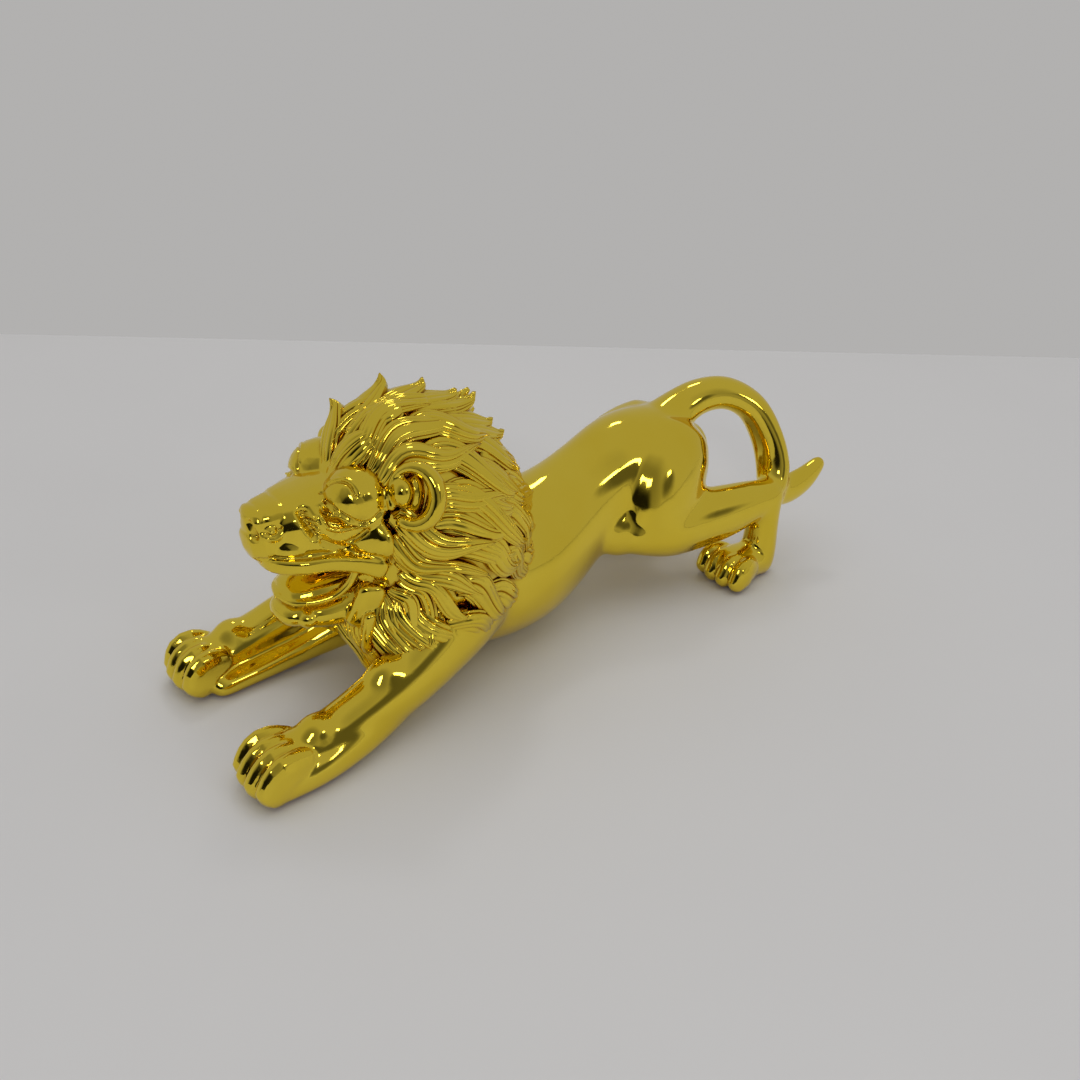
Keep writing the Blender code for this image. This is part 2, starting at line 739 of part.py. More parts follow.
def gold():
    material = bpy.data.materials.new("mirror gold")
    material.use_nodes = True
    shader = material.node_tree.nodes["Principled BSDF"]
    shader.inputs["Base Color"].default_value = GOLD
    shader.inputs["Metallic"].default_value = 1.0
    shader.inputs["Roughness"].default_value = GOLD_ROUGHNESS
    return material


clear_scene()
figure = lion()
settle(figure)
figure.data.materials.clear()
figure.data.materials.append(gold())
figure.data.shade_smooth()
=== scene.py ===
"""The looks of a small mirror-gold lion figurine: fine mesh, gold, pale floor, light and camera.

The shapes are worked out in the figure's own measure, about a thousandth of a metre, with x = 0 as
its plane of symmetry and the floor at z = 0. The lion faces -Y and its own left is +X. settle()
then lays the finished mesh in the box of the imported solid.
"""

import math

import bpy
import bmesh
import numpy as np
from mathutils import Matrix, Vector
from mathutils.bvhtree import BVHTree

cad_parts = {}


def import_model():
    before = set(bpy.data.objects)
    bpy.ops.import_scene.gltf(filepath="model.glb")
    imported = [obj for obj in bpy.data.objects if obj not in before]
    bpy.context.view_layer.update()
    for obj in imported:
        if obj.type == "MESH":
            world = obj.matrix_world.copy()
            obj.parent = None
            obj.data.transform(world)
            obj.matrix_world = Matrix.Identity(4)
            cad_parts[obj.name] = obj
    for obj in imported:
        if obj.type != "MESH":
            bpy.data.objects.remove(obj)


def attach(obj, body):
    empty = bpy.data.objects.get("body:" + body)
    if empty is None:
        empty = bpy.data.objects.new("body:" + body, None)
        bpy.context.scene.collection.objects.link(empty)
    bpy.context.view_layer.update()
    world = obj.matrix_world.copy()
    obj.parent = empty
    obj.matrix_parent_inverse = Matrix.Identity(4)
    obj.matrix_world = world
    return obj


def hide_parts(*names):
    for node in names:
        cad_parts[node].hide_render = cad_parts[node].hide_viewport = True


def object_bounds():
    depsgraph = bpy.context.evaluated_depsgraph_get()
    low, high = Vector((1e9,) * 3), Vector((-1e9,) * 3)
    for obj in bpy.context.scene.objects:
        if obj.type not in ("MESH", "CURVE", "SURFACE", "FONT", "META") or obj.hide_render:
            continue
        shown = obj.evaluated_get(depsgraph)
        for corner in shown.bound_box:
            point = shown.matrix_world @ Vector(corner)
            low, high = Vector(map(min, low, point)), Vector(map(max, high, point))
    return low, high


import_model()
cad_low, cad_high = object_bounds()

BODY_VOXEL = 0.5  # how finely the smooth body is blended together
VOXEL = 0.3  # how finely the whole figure is blended together
BODY_SMOOTHING = 45  # rounds of smoothing after the body's blend
SMOOTHING = 3  # and after the whole figure's
BODY_POLISH = 14  # further rounds where the smooth body shows bare on the figure
TRIANGLES = 196000  # about how many the figure keeps

X_AXIS = Vector((1, 0, 0))
UPRIGHT = Vector((0, 0, 1))
BOTH = (1, -1)  # the lion's left, then its right
DOME = (0.6, 1.1)  # how far up a tube's rounded end its extra rings are, in radians


def through(rows, steps=4):
    """Points on a smooth curve through the rows, each row any number of values."""
    stops = [np.array(row, dtype=float) for row in rows]
    stops = [stops[0], *stops, stops[-1]]
    points = []
    for before, start, end, after in zip(stops, stops[1:], stops[2:], stops[3:]):
        for step in range(steps):
            t = step / steps
            point = before * (2 * t**2 - t - t**3) + start * (2 - 5 * t**2 + 3 * t**3)
            point += end * (t + 4 * t**2 - 3 * t**3) + after * (t**3 - t**2)
            points.append(point / 2)
    points.append(stops[-1])
    return points


def ring(bm, centre, across, deep, half_width, half_depth, sides, power):
    """Points round an oval, boxier as the power rises above 2."""
    points = []
    for k in range(sides):
        angle = 2 * math.pi * k / sides
        c, s = math.cos(angle), math.sin(angle)
        size = (abs(c) ** power + abs(s) ** power) ** (-1 / power)
        spot = centre + across * (half_width * size * c) + deep * (half_depth * size * s)
        points.append(bm.verts.new(spot))
    return points


def tube(bm, rows, sides=20, power=2.0, width_axis=X_AXIS):
    """A closed solid through rows of (x, y, z, half width, half depth), with domed ends.

    width_axis is one vector for the whole tube, or one for each row.
    """
    centres = [Vector(row[:3]) for row in rows]
    axes = width_axis if isinstance(width_axis, list) else [width_axis] * len(rows)
    last = len(rows) - 1
    rings = []
    ends = []
    for i, (centre, row) in enumerate(zip(centres, rows)):
        along = (centres[min(i + 1, last)] - centres[max(i - 1, 0)]).normalized()
        across = (axes[i] - along * axes[i].dot(along)).normalized()
        deep = along.cross(across)
        half_width, half_depth = row[3], row[4]
        tip = min(half_width, half_depth)
        domes = [(0.0, 1.0)]
        if i in (0, last):
            outward = 1 if i == last else -1
            domes += [(outward * tip * math.sin(a), math.cos(a)) for a in DOME]
            ends.append(centre + along * outward * tip)
            if i == 0:
                domes.reverse()
        for shift, share in domes:
            spot = centre + along * shift
            halves = (half_width * share, half_depth * share)
            rings.append(ring(bm, spot, across, deep, *halves, sides, power))
    for low, high in zip(rings, rings[1:]):
        for k in range(sides):
            n = (k + 1) % sides
            bm.faces.new((low[k], low[n], high[n], high[k]))
    start, end = bm.verts.new(ends[0]), bm.verts.new(ends[1])
    for k in range(sides):
        n = (k + 1) % sides
        bm.faces.new((start, rings[0][n], rings[0][k]))
        bm.faces.new((end, rings[-1][k], rings[-1][n]))


def ball(bm, centre, radii, turn=0.0):
    """An egg with half sizes along X, Y and Z, turned about Z, in degrees."""
    place = Matrix.Translation(Vector(centre)) @ Matrix.Rotation(math.radians(turn), 4, "Z")
    place = place @ Matrix.Diagonal(Vector((*radii, 1)))
    bmesh.ops.create_icosphere(bm, subdivisions=3, radius=1, matrix=place)


def mirrored(rows, side):
    """The rows with x turned to the given side."""
    return [(side * row[0], *row[1:]) for row in rows]


def torso(bm):
    """Neck, deep chest, narrow waist and high round rump; rows of y, z, half width, half height."""
    rows = [
        (-34, 32.0, 14.0, 17.0),
        (-22, 26.0, 18.0, 21.0),
        (-10, 21.0, 20.0, 19.5),
        (2, 20.0, 19.0, 19.0),
        (12, 22.6, 16.4, 18.2),
        (22, 26.6, 13.8, 16.2),
        (31, 29.8, 13.0, 16.6),
        (41, 32.8, 14.0, 17.4),
        (50, 34.0, 13.4, 16.0),
        (58, 33.5, 11.0, 13.5),
        (63, 33.0, 8.0, 9.5),
    ]
    tube(bm, through([(0, *row) for row in rows], steps=3), sides=28)


def hind_leg(bm, side):
    """Haunch, level shank, high hock, upright metatarsus and foot, and the fold before the knee."""
    thigh = [
        (7.0, 54, 38.0, 9.0, 12.0),
        (10.0, 48, 32.0, 9.5, 14.0),
        (12.5, 44, 25.0, 8.6, 12.5),
        (14.5, 46, 20.0, 7.6, 8.5),
    ]
    shank = [
        (13.0, 36, 21.6, 6.0, 6.6),
        (14.5, 45, 20.6, 7.6, 8.4),
        (16.0, 54, 20.6, 7.4, 8.6),
        (18.5, 63, 21.4, 6.6, 8.0),
        (20.5, 71, 22.8, 5.6, 6.4),
        (21.8, 77, 23.5, 4.8, 4.8),
    ]
    metatarsus = [
        (21.8, 76.4, 24.0, 4.8, 4.6),
        (22.0, 76.0, 15.0, 4.8, 4.6),
        (22.2, 75.6, 7.0, 5.2, 4.8),
        (22.2, 75.0, 3.0, 5.4, 4.6),
    ]
    foot = [
        (22.2, 75.5, 3.4, 5.2, 4.2),
        (22.0, 70.0, 4.4, 6.2, 5.2),
        (21.6, 64.5, 4.4, 6.8, 5.4),
    ]
    for rows in (thigh, shank, metatarsus, foot):
        tube(bm, through(mirrored(rows, side)))
    flank_fold = (side * 10.6, 33.0, 22.4)
    ball(bm, flank_fold, (5.4, 9.0, 7.6))


def foreleg(bm, side):
    """Shoulder and a forearm down to the floor, with an edge along each side and three muscles."""
    arm = [
        (10.5, -12, 27.0, 9.0, 13.0),
        (15.0, -22, 21.5, 8.8, 11.5),
        (18.2, -32, 17.0, 7.8, 9.6),
        (20.4, -42, 13.0, 6.9, 8.2),
        (21.6, -52, 10.0, 6.2, 7.4),
        (22.0, -61, 7.6, 5.9, 6.8),
        (22.0, -69, 6.2, 6.2, 6.2),
        (21.8, -75, 6.0, 7.2, 6.2),
    ]
    inner_edge = [
        (15.5, -73, 2.5, 3.6, 3.0),
        (16.4, -62, 3.0, 4.2, 3.4),
        (16.0, -50, 4.6, 4.4, 4.2),
        (13.5, -40, 7.6, 4.6, 5.4),
    ]
    outer_edge = [
        (26.3, -79, 3.4, 3.9, 3.6),
        (26.2, -68, 4.3, 4.1, 4.5),
        (25.0, -57, 6.2, 3.9, 5.1),
        (22.8, -47, 8.8, 3.8, 5.4),
        (20.8, -38, 12.0, 3.6, 5.4),
    ]
    for rows in (arm, inner_edge, outer_edge):
        tube(bm, through(mirrored(rows, side)))
    muscles = (
        ((side * 21.0, -46.5, 14.2), (5.0, 7.0, 7.4)),
        ((side * 22.4, -66.0, 8.6), (5.0, 6.0, 6.6)),
        ((side * 18.6, -30.0, 21.4), (6.0, 7.0, 8.0)),
    )
    for centre, radii in muscles:
        ball(bm, centre, radii)


def tail(bm):
    """Out of the rump, up in an arch, down onto the left hock, with the tip flicked out behind."""
    arch = [
        (0.0, 52, 42.0, 7.5, 7.5),
        (0.0, 60, 46.2, 6.2, 5.6),
        (1.6, 67, 49.2, 5.2, 5.0),
        (5.0, 74, 49.6, 5.0, 4.6),
        (9.5, 80.0, 45.4, 5.2, 4.3),
        (14.0, 82.6, 37.6, 5.6, 3.9),
        (17.6, 82.6, 30.0, 5.6, 3.7),
        (20.5, 80, 24.5, 4.6, 3.6),
    ]
    tip = [
        (20.0, 79, 23.5, 4.0, 4.4),
        (20.6, 86, 22.0, 3.6, 4.6),
        (21.0, 93, 23.5, 3.0, 4.2),
        (21.2, 98.5, 27.0, 2.2, 2.6),
    ]
    for rows in (arch, tip):
        tube(bm, through(rows, steps=5))


TOES = 4


def paw(bm, side, heel, front, height, spread):
    """Four rounded toes, parted by deep grooves, the outer ones set back a little.

    front is (x, y) of the pad's middle, heel the y where the toes begin, spread is from toe to toe.
    """
    for k in range(TOES):
        from_middle = k - (TOES - 1) / 2
        out = from_middle * spread
        reach = front[1] + 0.5 * from_middle**2
        rows = [
            (front[0] + out * 0.75, heel, height * 0.52, 2.6, height * 0.42),
            (front[0] + out, (heel + reach) / 2 + 1, height * 0.56, 2.5, height * 0.52),
            (front[0] + out * 1.02, reach + 3.2, height * 0.33, 2.4, height * 0.36),
        ]
        tube(bm, through(mirrored(rows, side)), sides=14)


def muzzle(bm):
    """Blunt muzzle under a broad flat bridge, with the nose pad hung on its front."""
    rows = [
        (-38, 50.0, 14.5, 12.0),
        (-46, 50.0, 12.6, 10.0),
        (-53, 49.8, 11.2, 9.2),
        (-58, 49.6, 9.4, 8.7),
        (-61.5, 49.2, 7.0, 6.8),
    ]
    tube(bm, through([(0, *row) for row in rows]), sides=28, power=2.5)
    nose = [
        (0, -60.0, 54.8, 6.0, 3.2),
        (0, -63.4, 54.4, 5.4, 3.1),
    ]
    tube(bm, through(nose, steps=3), power=2.6)
    pad = [
        (0, -65.2, 55.0, 4.8, 2.4),
        (0, -65.6, 51.0, 3.8, 2.0),
        (0, -65.0, 47.6, 2.2, 1.6),
    ]
    tube(bm, through(pad, steps=3))
    for side in BOTH:
        nose_wing = (side * 4.8, -62.8, 52.2)
        ball(bm, nose_wing, (2.3, 2.8, 2.1))
        whisker_pad = (side * 2.2, -58.4, 47.4)
        ball(bm, whisker_pad, (7.0, 6.4, 5.6))


def jaws(bm):
    """Upper lip band that droops at the corner, and the lower jaw with its lip, tongue and chin."""
    for side in BOTH:
        lip = [
            (0.0, -64.0, 45.0, 1.9, 1.9),
            (5.0, -63.4, 44.8, 1.9, 1.9),
            (9.4, -59.2, 44.8, 1.8, 1.9),
            (11.8, -53.4, 44.8, 1.8, 1.8),
            (13.6, -47.6, 43.2, 2.0, 1.8),
            (15.0, -43.4, 41.4, 2.5, 2.0),
        ]
        tube(bm, through(mirrored(lip, side)), sides=28, power=4.0, width_axis=UPRIGHT)
        lower = [
            (0.0, -61.8, 33.2, 0.9, 1.0),
            (4.6, -60.2, 33.0, 0.9, 1.0),
            (7.4, -56.4, 33.2, 0.9, 1.0),
            (9.2, -52.0, 34.2, 0.9, 1.0),
            (10.6, -49.2, 36.8, 0.9, 1.0),
            (11.4, -47.4, 40.4, 0.9, 1.0),
        ]
        tube(bm, through(mirrored(lower, side)), width_axis=UPRIGHT)
    jaw = [
        (0, -40, 29.6, 11.0, 7.2),
        (0, -48, 28.6, 10.2, 5.2),
        (0, -54, 28.2, 9.0, 4.0),
        (0, -58.4, 28.4, 6.8, 3.3),
    ]
    tube(bm, through(jaw), sides=24, power=2.9)
    tongue = [
        (0, -46, 34.4, 8.8, 3.8),
        (0, -53, 34.0, 8.0, 3.6),
        (0, -58.6, 33.4, 6.0, 2.8),
    ]
    tube(bm, through(tongue), sides=28, power=2.2)
    chin = (0, -59.6, 28.4)
    ball(bm, chin, (6.0, 3.9, 3.3))
    for side in BOTH:
        chin_side = (side * 5.6, -57.6, 28.2)
        ball(bm, chin_side, (2.6, 2.6, 2.4))
    throat = (0, -40, 36)
    ball(bm, throat, (12.0, 7.5, 9))


def below_the_jaw(bm):
    """A plate below each corner of the mouth, and folds of skin from the jaw down to the chest."""
    for side in BOTH:
        plate = [
            (11.4, -46.4, 26.4, 4.6, 2.2),
            (12.6, -45.4, 31.0, 4.2, 2.1),
            (13.4, -44.8, 35.0, 3.4, 1.8),
        ]
        facing = Vector((side * 0.35, 1, 0))
        tube(bm, through(mirrored(plate, side)), power=2.4, width_axis=facing)
        for out, foot in ((8.2, 15.5), (11.2, 14.0), (13.8, 17.5)):
            fold = [
                (out - 1.4, -45.6, foot, 1.3, 1.5),
                (out, -47.4, 21.5, 1.7, 1.8),
                (out + 0.9, -46.6, 29.0, 1.3, 1.6),
            ]
            tube(bm, through(mirrored(fold, side)), sides=14)


def brow_and_eye(bm, side):
    """Heavy round brow over a deep eye, with the cheek below."""
    brow, temple = (side * 8.0, -43.9, 57.0), (side * 11.8, -41.6, 54.2)
    ball(bm, brow, (7.4, 8.0, 6.8), turn=side * 12)
    ball(bm, temple, (3.4, 5.4, 5.6), turn=side * 20)
    forehead, eyeball = (side * 1.8, -40.4, 58.6), (side * 9.8, -50.4, 55.6)
    ball(bm, forehead, (6.6, 7.2, 6.4))
    ball(bm, eyeball, (1.7, 1.7, 1.5))
    pouch = [
        (side * 8.4, -52.4, 51.2, 1.2, 1.0),
        (side * 9.9, -50.6, 50.0, 1.8, 1.3),
        (side * 10.9, -48.4, 50.2, 1.8, 1.3),
        (side * 12.4, -46.2, 51.6, 1.2, 1.0),
    ]
    tube(bm, through(pouch), sides=14, width_axis=UPRIGHT)
    cheek = [
        (side * 10.6, -43.6, 53.0, 3.2, 2.6),
        (side * 12.9, -43.9, 48.4, 5.2, 2.7),
        (side * 14.2, -42.8, 45.2, 4.6, 2.5),
    ]
    tube(bm, through(cheek), sides=24, power=3.4, width_axis=Vector((side * 0.7, 0.7, 0)))


def grooves():
    """Lines cut into the finished form: points along each, how wide it reaches, how deep it goes.

    A line with a negative depth stands up as a ridge.
    """
    nostril = [(2.4, -67.2, 54.8), (3.0, -66.8, 53.2), (3.4, -66.6, 51.8)]
    nose_wing = [(5.4, -65.0, 53.0), (6.2, -63.9, 52.4), (7.0, -62.8, 52.8), (6.6, -62.2, 54.0)]
    lip_crease = [
        (3.0, -65.4, 46.8),
        (8.0, -60.7, 46.7),
        (10.8, -56.1, 46.6),
        (11.6, -51.0, 46.2),
        (16.2, -43.6, 44.8),
    ]
    lid = [
        (8.0, -51.9, 57.9),
        (10.9, -51.3, 57.2),
        (13.2, -49.2, 55.1),
        (14.0, -46.8, 53.0),
        (15.3, -42.5, 55.2),
    ]
    lid_edge = [(7.4, -52.3, 56.9), (10.5, -51.8, 56.3), (12.8, -49.4, 54.2), (14.0, -46.9, 52.2)]
    eye = [(8.6, -52.4, 55.6), (10.6, -51.0, 55.0), (11.8, -49.6, 53.8)]
    lower_lid = [
        (8.8, -53.4, 54.4),
        (9.6, -52.7, 52.6),
        (11.2, -50.8, 51.9),
        (12.2, -48.2, 51.9),
        (14.4, -45.7, 52.8),
    ]
    pouch_edge = [
        (8.9, -53.8, 51.0),
        (10.5, -52.4, 49.1),
        (11.6, -49.9, 48.1),
        (12.8, -47.5, 49.2),
        (14.2, -45.5, 51.2),
    ]
    cheek_fold = [(10.0, -54.2, 49.8), (11.4, -51.8, 47.9), (12.0, -49.6, 46.6)]
    eye_corner = [(7.2, -56.9, 56.2), (7.9, -56.2, 53.8), (9.2, -55.4, 51.6)]
    swirl = [
        (5.6, -51.6, 58.9),
        (7.4, -50.3, 61.2),
        (9.3, -48.9, 62.4),
        (11.6, -47.7, 62.2),
        (13.5, -47.2, 60.0),
    ]
    swirl_edge = [(6.4, -50.4, 60.9), (9.0, -48.6, 63.2), (12.0, -47.0, 62.9), (14.3, -46.3, 60.4)]
    pocket = []  # short ridges in the hollow at the eye's inner corner
    for k in range(4):
        start = (6.6 + 0.9 * k, -56.9 + 0.5 * k, 55.6 - 1.1 * k)
        pocket.append([start, (8.4 + 0.7 * k, -55.0, 54.7 - 1.0 * k)])
    gutter = [(8.8, -56.0, 52.2), (10.2, -53.6, 49.9), (11.6, -51.2, 48.0), (12.2, -49.0, 46.9)]
    cuts = (
        (nostril, 1.4, 1.2),
        (nose_wing, 1.0, 0.8),
        (lip_crease, 0.7, 0.3),
        (lid, 0.7, 0.6),
        (lid_edge, 0.8, -0.7),
        (eye, 1.3, 1.4),
        (lower_lid, 0.7, -0.65),
        (pouch_edge, 0.8, 0.6),
        (cheek_fold, 1.4, 1.1),
        (eye_corner, 2.0, 1.5),
        (swirl, 0.55, 0.55),
        (swirl_edge, 0.6, -0.3),
        (gutter, 1.0, 0.9),
        *((line, 0.5, -0.8) for line in pocket),
    )
    placed = []
    for side in BOTH:
        for points, reach, depth in cuts:
            placed.append((through(mirrored(points, side), steps=6), reach, depth))
    return placed


EAR_START, EAR_SWEEP = -115, 320  # where the ear's rim begins and how far round it goes, in degrees
EAR_STEPS = 20
EAR_RADIUS = 5.4
EAR_TURN = 40  # degrees that its bed and its lobe are turned outward


def ear(bm, side):
    """A cup with a thick round rim, open to the front and side, and a round lobe inside it."""
    centre = Vector((side * 18.6, -36.0, 58.6))
    facing = Vector((side * 0.72, -0.62, 0.3)).normalized()
    level = facing.cross(UPRIGHT).normalized()
    rise = level.cross(facing)
    rows, axes = [], []
    for step in range(EAR_STEPS + 1):
        angle = math.radians(EAR_START + EAR_SWEEP * step / EAR_STEPS)
        thick = 1.35 + 0.75 * math.cos(angle * 0.8 + 0.2)
        spoke = level * math.cos(angle) * -side + rise * math.sin(angle)
        spot = centre + spoke * EAR_RADIUS + rise * math.sin(angle)
        spot += facing * (0.6 * math.cos(angle))
        rows.append((*spot, max(0.9, thick), max(1.0, thick * 1.2)))
        axes.append(spoke)
    tube(bm, rows, sides=12, width_axis=axes)
    bed = centre - facing * 5.6
    ball(bm, bed, (6.0, 3.5, 6.8), turn=-side * EAR_TURN)
    lobe = centre + level * (side * 2.4) + rise * 0.6 - facing * 0.9
    ball(bm, lobe, (3.3, 2.9, 3.7), turn=-side * EAR_TURN)


LOCK_STEPS = 22  # stretches along a lock
STRAND = 1.35  # how wide a lock's strands are where it is widest
STRAND_DEPTH = 0.42  # how deep the line between two strands goes, as a share of a strand's width
STRAND_SWAY, SWAY_RATE = 0.12, 2.4  # how unevenly the strands are spaced
STRAND_SIDES = 4  # faces across a strand
UNDERSIDES = 5  # faces across a lock's smooth underside
NUDGE = 0.02  # how far to each side a form's slope is measured


class Form:
    """A rounded mass that hair lies on, with a pole that the hair is swept away from."""

    def __init__(self, centre, radii, pole, front, stoop=0.0, tuck=0.0, spread=0.0):
        self.centre, self.radii = Vector(centre), Vector(radii)
        self.pole = Vector(pole).normalized()
        self.side = X_AXIS
        self.front = Vector(front).normalized()
        self.stoop, self.tuck, self.spread = stoop, tuck, spread

    def place(self, way):
        """Where the surface lies.

        stoop brings its top forward, tuck brings its foot forward, and spread widens it below.
        """
        x = way.x * self.radii.x * (1 - self.spread * way.z)
        z = way.z * self.radii.z
        forward = self.stoop * max(z, 0) + self.tuck * max(-z, 0)
        return self.centre + Vector((x, way.y * self.radii.y - forward, z))

    def at(self, away, around, lift):
        """A point and its normal, by degrees away from the pole, degrees round it, and lift."""
        a, r = math.radians(away), math.radians(around)
        ring_way = self.front * math.cos(r) + self.side * math.sin(r)
        way = self.pole * math.cos(a) + ring_way * math.sin(a)
        down = ring_way * math.cos(a) - self.pole * math.sin(a)
        along = self.place(way + down * NUDGE) - self.place(way - down * NUDGE)
        turn = self.front * -math.sin(r) + self.side * math.cos(r)
        across = self.place(way + turn * NUDGE) - self.place(way - turn * NUDGE)
        normal = along.cross(across).normalized()
        if normal.dot(way) < 0:
            normal.negate()
        return self.place(way) + normal * lift, normal

    def solid(self, bm, share):
        """The form as a closed mass, at a share of its size."""
        made = bmesh.ops.create_icosphere(bm, subdivisions=5, radius=1)
        for vert in made["verts"]:
            vert.co = self.centre + (self.place(vert.co) - self.centre) * share


FACE_WAY = Vector((0, -1, 0.18)).normalized()
CROWN_WAY = FACE_WAY.cross(X_AXIS)
MANE = Form(
    (0, -22.0, 40.5),
    (23.0, 24.0, 31.0),
    FACE_WAY,
    CROWN_WAY,
    stoop=0.26,
    tuck=0.14,
    spread=0.16,
)
BEARD = Form((0, -35.0, 24.0), (20.5, 14.0, 17.0), (0, 0, 1), (0, -1, 0))
BEARD_SHARE = 0.98  # of the form, for the mass that the beard's locks lie on

UNDER = []  # what hair rests on besides its own form: the body and the beard's mass
HAIR_RAY = 13  # how far above the form the body is looked for
FRONT_RIDE = 5.0  # how far the locks that grow from the hairline ride up on it
REAR_RIDE = 2.0  # and those behind


def laid(form, spots, lifts, most):
    """Points and normals of a lock through the spots, lifted clear of what lies above the form.

    It isn't lifted by more than most, so where the body lies higher the lock goes in under it.
    """
    path, normals, outs = [], [], []
    for away, around in spots:
        point, normal = form.at(away, around, 0)
        out = 0.0
        for tree in UNDER:
            away_by = tree.ray_cast(point + normal * HAIR_RAY, -normal, HAIR_RAY)[3]
            if away_by is not None:
                out = min(most, max(out, HAIR_RAY - away_by))
        path.append(point)
        normals.append(normal)
        outs.append(out)
    for _ in range(3):
        padded = [outs[0], *outs, outs[-1]]
        outs = [(a + 2 * b + c) / 4 for a, b, c in zip(padded, padded[1:], padded[2:])]
    return [p + n * (o + lift) for p, n, o, lift in zip(path, normals, outs, lifts)], normals


def lock(bm, path, normals, widths, taper):
    """A flat lock of hair along the path that swells from its root and closes to a tip.

    widths holds its half width at each step. The higher the taper, the longer it keeps its width.
    """
    last = len(path) - 1
    rows, axes = [], []
    for step, (point, normal) in enumerate(zip(path, normals)):
        t = step / last
        along = (path[min(step + 1, last)] - path[max(step - 1, 0)]).normalized()
        axes.append(along.cross(normal).normalized())
        swell = 0.75 + 0.25 * math.sin(math.pi * min(1, t * 2) * 0.5)
        half = widths[step] * (swell * (1 - t**taper) + 0.05)
        rows.append((*point, half, 0.6 + 0.42 * half))
    strands(bm, rows, axes)


def spaced(over):
    """A place counted in strands, with the strands' uneven widths worked in."""
    return over + STRAND_SWAY * math.sin(over * SWAY_RATE)


def strands(bm, rows, axes):
    """A closed solid through the rows, its outer side ridged along its length like combed hair."""
    widest = max(rows, key=lambda row: row[3])
    arc = math.pi * math.hypot(widest[3], widest[4]) / math.sqrt(2)
    count = max(3, round(arc / STRAND))
    chance = rows[0][0] * 1.3 + rows[0][2]  # sets the locks apart, so that their lines differ
    # How deep each line is, as a share of the full depth
    shares = [0.62 + 0.38 * math.sin(k * 2.1 + chance) for k in range(count + 1)]
    points = [Vector(row[:3]) for row in rows]
    last = len(rows) - 1
    rings = []
    for i, (point, row, across) in enumerate(zip(points, rows, axes)):
        along = (points[min(i + 1, last)] - points[max(i - 1, 0)]).normalized()
        outward = across.cross(along)
        half_width, half_depth = row[3], row[4]
        groove = STRAND_DEPTH * math.pi * math.hypot(half_width, half_depth) / math.sqrt(2) / count
        made = []
        for k in range(count * STRAND_SIDES + UNDERSIDES):
            over = k / STRAND_SIDES
            if over <= count:
                angle = math.pi * spaced(over) / spaced(count)
                dip = groove * shares[round(over)] * (1 - abs(math.sin(math.pi * over)))
            else:
                angle = math.pi * (1 + (k - count * STRAND_SIDES) / UNDERSIDES)
                dip = 0.0
            c, s = math.cos(angle), math.sin(angle)
            spot = point + across * c * (half_width - dip) + outward * s * (half_depth - dip)
            made.append(bm.verts.new(spot))
        rings.append(made)
    for low, high in zip(rings, rings[1:]):
        for k in range(len(low)):
            n = (k + 1) % len(low)
            bm.faces.new((low[k], low[n], high[n], high[k]))
            if k % STRAND_SIDES == 0 and 0 < k < count * STRAND_SIDES:
                bm.edges.get((low[k], high[k])).smooth = False
    for made, point in ((rings[0], points[0]), (rings[-1], points[-1])):
        middle = bm.verts.new(point)
        for k in range(len(made)):
            bm.faces.new((middle, made[k], made[(k + 1) % len(made)]))


# The flow of the hair, from root to tip of guide locks, which run from the crown to the beard:
# degrees away from the face's middle and degrees round it
FLOW = [
    [(38, 4), (60, 0), (85, -2), (110, 0)],
    [(44, 22), (62, 10), (84, 4), (113, 3)],
    [(48, 37), (68, 27), (90, 22), (120, 12)],
    [(52, 49), (70, 42), (92, 43), (126, 34)],
    [(70, 70), (84, 66), (102, 66), (122, 72)],
    [(48, 67), (53, 82), (68, 93), (95, 88)],
    [(46, 86), (56, 95), (76, 97), (101, 103)],
    [(48, 100), (62, 103), (78, 109), (98, 108)],
    [(48, 106), (60, 109), (71, 119), (73, 128)],
    [(45, 116), (56, 117), (65, 125), (73, 129)],
    [(42, 124), (50, 128), (60, 131), (69, 131)],
    [(36, 130), (44, 136), (52, 144), (59, 152)],
    [(34, 152), (44, 158), (56, 163), (68, 170)],
]


def flow(across, along):
    """(away, around) at a share across the guides, from crown to beard, and a share along them."""
    spot = across * (len(FLOW) - 1)
    low = min(int(spot), len(FLOW) - 2)
    first, second = (through(FLOW[k], steps=6) for k in (low, low + 1))
    step = along * (len(first) - 1)
    k = min(int(step), len(first) - 2)
    a = first[k] + (first[k + 1] - first[k]) * (step - k)
    b = second[k] + (second[k + 1] - second[k]) * (step - k)
    return a + (b - a) * (spot - low)


FLOWING = 14  # locks on each side that grow from the hairline
THIN, THICK = 1.9, 3.5  # half widths that such a lock stays between


def flowing_lock(bm, side, k):
    """The k-th lock from the hairline, along the flow and as wide as the flow's spacing there.

    Here and in mane() sines of k make neighbours differ, in the same way each run.
    """
    across = (k + 0.5) / FLOWING
    start = 0.03 * math.sin(k * 2.2)
    end = 0.92 + 0.08 * math.cos(k * 2.9)
    rise = 1.3 + 0.6 * math.sin(k * 4.1) if k > 3 else 0.2
    spots, lifts, widths = [], [], []
    for step in range(LOCK_STEPS + 1):
        t = step / LOCK_STEPS
        along = max(0, start + (end - start) * t)
        away, around = flow(across, along)
        around += 2.4 * math.sin(t * 7.5 + k * 0.9) * min(1, t * 3)
        edges = [MANE.at(*flow(share, along), 0)[0] for share in (k / FLOWING, (k + 1) / FLOWING)]
        widths.append(min(THICK, max(THIN, 0.62 * (edges[1] - edges[0]).length)))
        spots.append((away, side * around))
        root = 0.3 + 0.7 * math.sin(math.pi * min(1, t * 3) * 0.5)
        lifts.append(root + rise * t**3 + 0.35 * math.sin(k * 2.6))
    lock(bm, *laid(MANE, spots, lifts, FRONT_RIDE), widths, 3.4)


